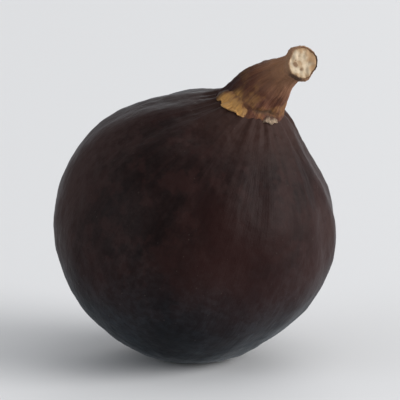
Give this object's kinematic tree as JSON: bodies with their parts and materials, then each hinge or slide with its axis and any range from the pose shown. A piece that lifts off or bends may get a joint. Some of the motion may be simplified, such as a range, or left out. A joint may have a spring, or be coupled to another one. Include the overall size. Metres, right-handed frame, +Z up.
{
  "type": "fresh fig",
  "caption": "Whole fresh dark fig with a short leaning neck, a woody stalk with a pale cut end and clasping bracts, and a small scaled eye, at rest on a small flat spot",
  "frame": {"origin": "the middle of the flat spot that the fig rests on, on the surface below it", "axes": "+Z up from the surface; the neck leans 28 degrees from +Z, towards +X and a little towards -Y"},
  "size_m": [0.0403, 0.0402, 0.0472],
  "materials": {
    "fig_skin": "near-black purple-brown skin with a dusty blue-grey bloom and a soft sheen",
    "stalk_bark": "matte reddish-brown bark with ochre bracts and a cream cut end",
    "eye_scale": "matte dry reddish-brown scales"
  },
  "bodies": {
    "root": {"fruit": "fig_skin", "stalk": "stalk_bark", "eye_scales": "eye_scale"}
  },
  "joints": []
}
